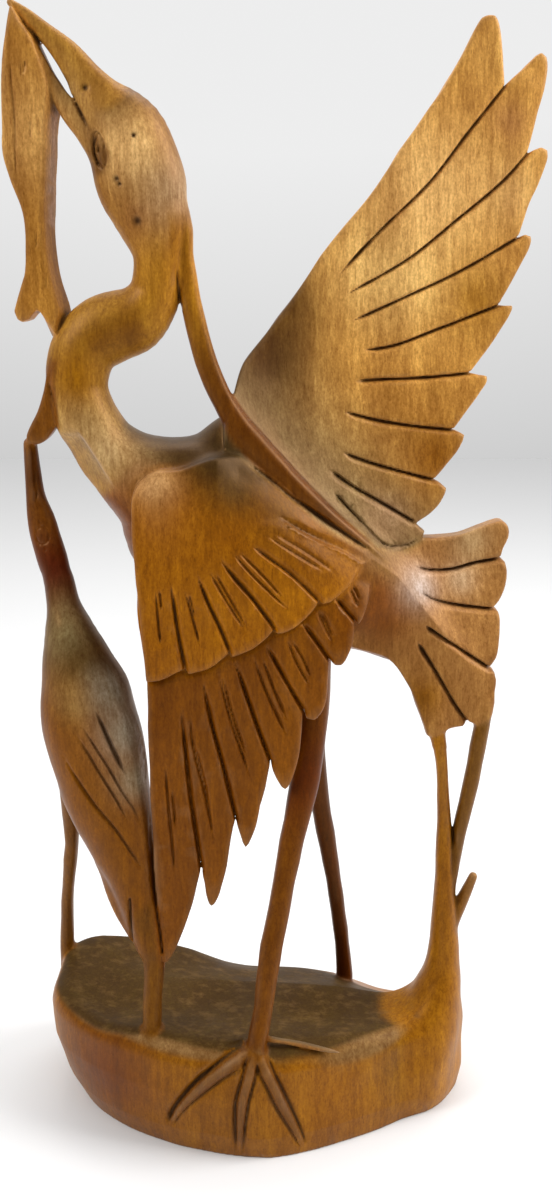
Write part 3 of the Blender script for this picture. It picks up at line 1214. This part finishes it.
def grain(name, stretch, detail=3.0, roughness=0.5, distortion=0.0, turn=0.0):
    """Noise drawn out by a stretch along x, y and z: the larger the number, the finer the pattern."""
    mapping = node("ShaderNodeMapping")
    mapping.inputs["Scale"].default_value = stretch
    mapping.inputs["Rotation"].default_value = (0, turn, 0)
    join(object_place, mapping, "Vector")
    noise = node("ShaderNodeTexNoise", Scale=1.0, Detail=detail, Roughness=roughness, Distortion=distortion)
    noise.label = name
    join(mapping.outputs["Vector"], noise, "Vector")
    return noise.outputs["Fac"]


def ranged(source, low, high, to_low, to_high):
    scale = node("ShaderNodeMapRange", clamp=True)
    scale.inputs["From Min"].default_value = low
    scale.inputs["From Max"].default_value = high
    scale.inputs["To Min"].default_value = to_low
    scale.inputs["To Max"].default_value = to_high
    join(source, scale, "Value")
    return scale.outputs["Result"]


def combined(operation, first, second):
    made = node("ShaderNodeMath", operation=operation)
    for socket, value in enumerate((first, second)):
        if isinstance(value, (int, float)):
            made.inputs[socket].default_value = value
        else:
            join(value, made, socket)
    return made.outputs[0]


def mixed(first, second, amount, blend_type="MIX"):
    made = node("ShaderNodeMix", data_type="RGBA", blend_type=blend_type)
    for socket, value in ((6, first), (7, second), (0, amount)):
        if isinstance(value, (tuple, float, int)):
            made.inputs[socket].default_value = value
        else:
            join(value, made, socket)
    return made.outputs[2]


rings = grain("growth rings", (75, 60, 2.2), detail=2.0, distortion=0.4, turn=math.radians(3))
streaks = grain("long streaks", (330, 330, 14), detail=3.0, turn=math.radians(3))
fibres = grain("short fibres", (620, 620, 130), detail=2.0)
blotches = grain("uneven stain", (26, 26, 18), detail=3.0)
flecks = grain("pores", (1500, 1500, 260), detail=1.0)
speckle = grain("speckle", (950, 950, 700), detail=2.0)
light = combined("MULTIPLY", ranged(rings, 0.3, 0.7, 0.8, 1.2), ranged(streaks, 0.25, 0.75, 0.82, 1.18))
for pattern, low, high, dark, pale in (
    (blotches, 0.3, 0.7, 0.82, 1.16), (speckle, 0.3, 0.7, 0.84, 1.16), (fibres, 0.3, 0.7, 0.8, 1.2),
    (flecks, 0.6, 0.7, 1.0, 0.74),
):
    light = combined("MULTIPLY", light, ranged(pattern, low, high, dark, pale))
as_colour = node("ShaderNodeCombineColor")
for channel, power in (("Red", 0.9), ("Green", 1.15), ("Blue", 1.4)):
    join(combined("POWER", light, power), as_colour, channel)
colour = mixed(attribute("shade").outputs["Color"], as_colour.outputs["Color"], 1.0, "MULTIPLY")
dust = attribute("dust").outputs["Fac"]
scuffs = grain("scuffs on the base's top", (110, 170, 110), detail=6.0, roughness=0.7)
PALE_DUST = (0.22, 0.12, 0.035, 1)
DARK_IN_CUTS = (0.03, 0.011, 0.005, 1)
RUBBED_EDGES = (0.45, 0.30, 0.17, 1)
DARK_IN_HOLLOWS = (0.05, 0.026, 0.01, 1)
colour = mixed(colour, PALE_DUST, combined("MULTIPLY", dust, ranged(scuffs, 0.5, 0.75, 0.0, 0.5)))
fill = attribute("fill").outputs["Fac"]
hollow = attribute("hollow").outputs["Fac"]
colour = mixed(colour, DARK_IN_CUTS, ranged(fill, 0.12, 0.75, 0.0, 0.88))
colour = mixed(colour, RUBBED_EDGES, ranged(fill, -0.2, -0.9, 0.0, 0.3))
colour = mixed(colour, DARK_IN_HOLLOWS, ranged(hollow, 0.05, 0.7, 0.0, 0.55))
join(colour, shader, "Base Color")
gloss = combined("ADD", ranged(blotches, 0.3, 0.7, 0.36, 0.5), ranged(streaks, 0.3, 0.7, -0.04, 0.05))
gloss = combined("ADD", gloss, ranged(dust, 0.0, 1.0, 0.0, 0.28))
join(gloss, shader, "Roughness")
shader.inputs["Specular IOR Level"].default_value = 0.46
shader.inputs["Specular Tint"].default_value = (1.0, 0.48, 0.12, 1)
shader.inputs["Coat Weight"].default_value = 0.07
shader.inputs["Coat Roughness"].default_value = 0.4
texture = combined("ADD", combined("MULTIPLY", flecks, 0.5), combined("MULTIPLY", streaks, 0.8))
bump = node("ShaderNodeBump", Strength=0.25, Distance=0.0003)
join(texture, bump, "Height")
join(bump.outputs["Normal"], shader, "Normal")
carving.data.materials.clear()
carving.data.materials.append(varnished)


# Studio. The carving stands on a pale matt floor in soft light: a key from the upper left, a window on the
# right and a panel overhead. The camera stands a little above it and looks down.
FLOOR_CORNERS = np.array([(-3, -3, 0), (3, -3, 0), (3, 3, 0), (-3, 3, 0)], dtype=float)
floor = skin("floor", FLOOR_CORNERS, np.array([[0, 1, 2, 3]]))
pale = bpy.data.materials.new("pale_floor")
pale.use_nodes = True
pale.node_tree.nodes["Principled BSDF"].inputs["Base Color"].default_value = (0.85, 0.85, 0.85, 1)
pale.node_tree.nodes["Principled BSDF"].inputs["Roughness"].default_value = 0.8
floor.data.materials.append(pale)

world = bpy.data.worlds.new("studio")
world.use_nodes = True
tree = world.node_tree
sky = tree.nodes["Background"]
sky.inputs["Color"].default_value = (1, 1, 1, 1)
direction = node("ShaderNodeTexCoord").outputs["Generated"]
height = node("ShaderNodeVectorMath", operation="DOT_PRODUCT")
height.inputs[1].default_value = (0.0, 0.6, 0.8)
join(direction, height, 0)
join(ranged(height.outputs["Value"], 0.0, 0.7, 0.1, 0.85), sky, "Strength")
bpy.context.scene.world = world


def soft_panel(name, place, aim, size, power):
    light = bpy.data.lights.new(name, "AREA")
    light.shape = "RECTANGLE"
    light.size, light.size_y = size
    light.energy = power
    lamp = bpy.data.objects.new(name, light)
    bpy.context.scene.collection.objects.link(lamp)
    lamp.location = place
    toward = [a - p for a, p in zip(aim, place)]
    tilt = math.atan2(math.hypot(toward[0], toward[1]), -toward[2])
    lamp.rotation_euler = (tilt, 0, math.atan2(toward[1], toward[0]) - math.pi / 2)


soft_panel("key", (-1.5, -0.8, 1.6), (0, 0, 0.42), (0.8, 0.8), 22)
soft_panel("right_window", (1.5, -0.1, 1.4), (0, 0, 0.35), (0.9, 1.1), 30)
soft_panel("overhead", (0.1, 0.5, 1.9), (0, 0, 0.3), (1.3, 0.8), 9)

eye = bpy.data.cameras.new("camera")
eye.sensor_fit = "VERTICAL"
eye.sensor_height = 36
eye.lens = 33.0
camera = bpy.data.objects.new("camera", eye)
camera.location = (0, -0.6, 0.454)
camera.rotation_euler = (math.radians(75.5), 0, 0)
bpy.context.scene.collection.objects.link(camera)
bpy.context.scene.camera = camera
bpy.context.scene.view_settings.view_transform = "Standard"
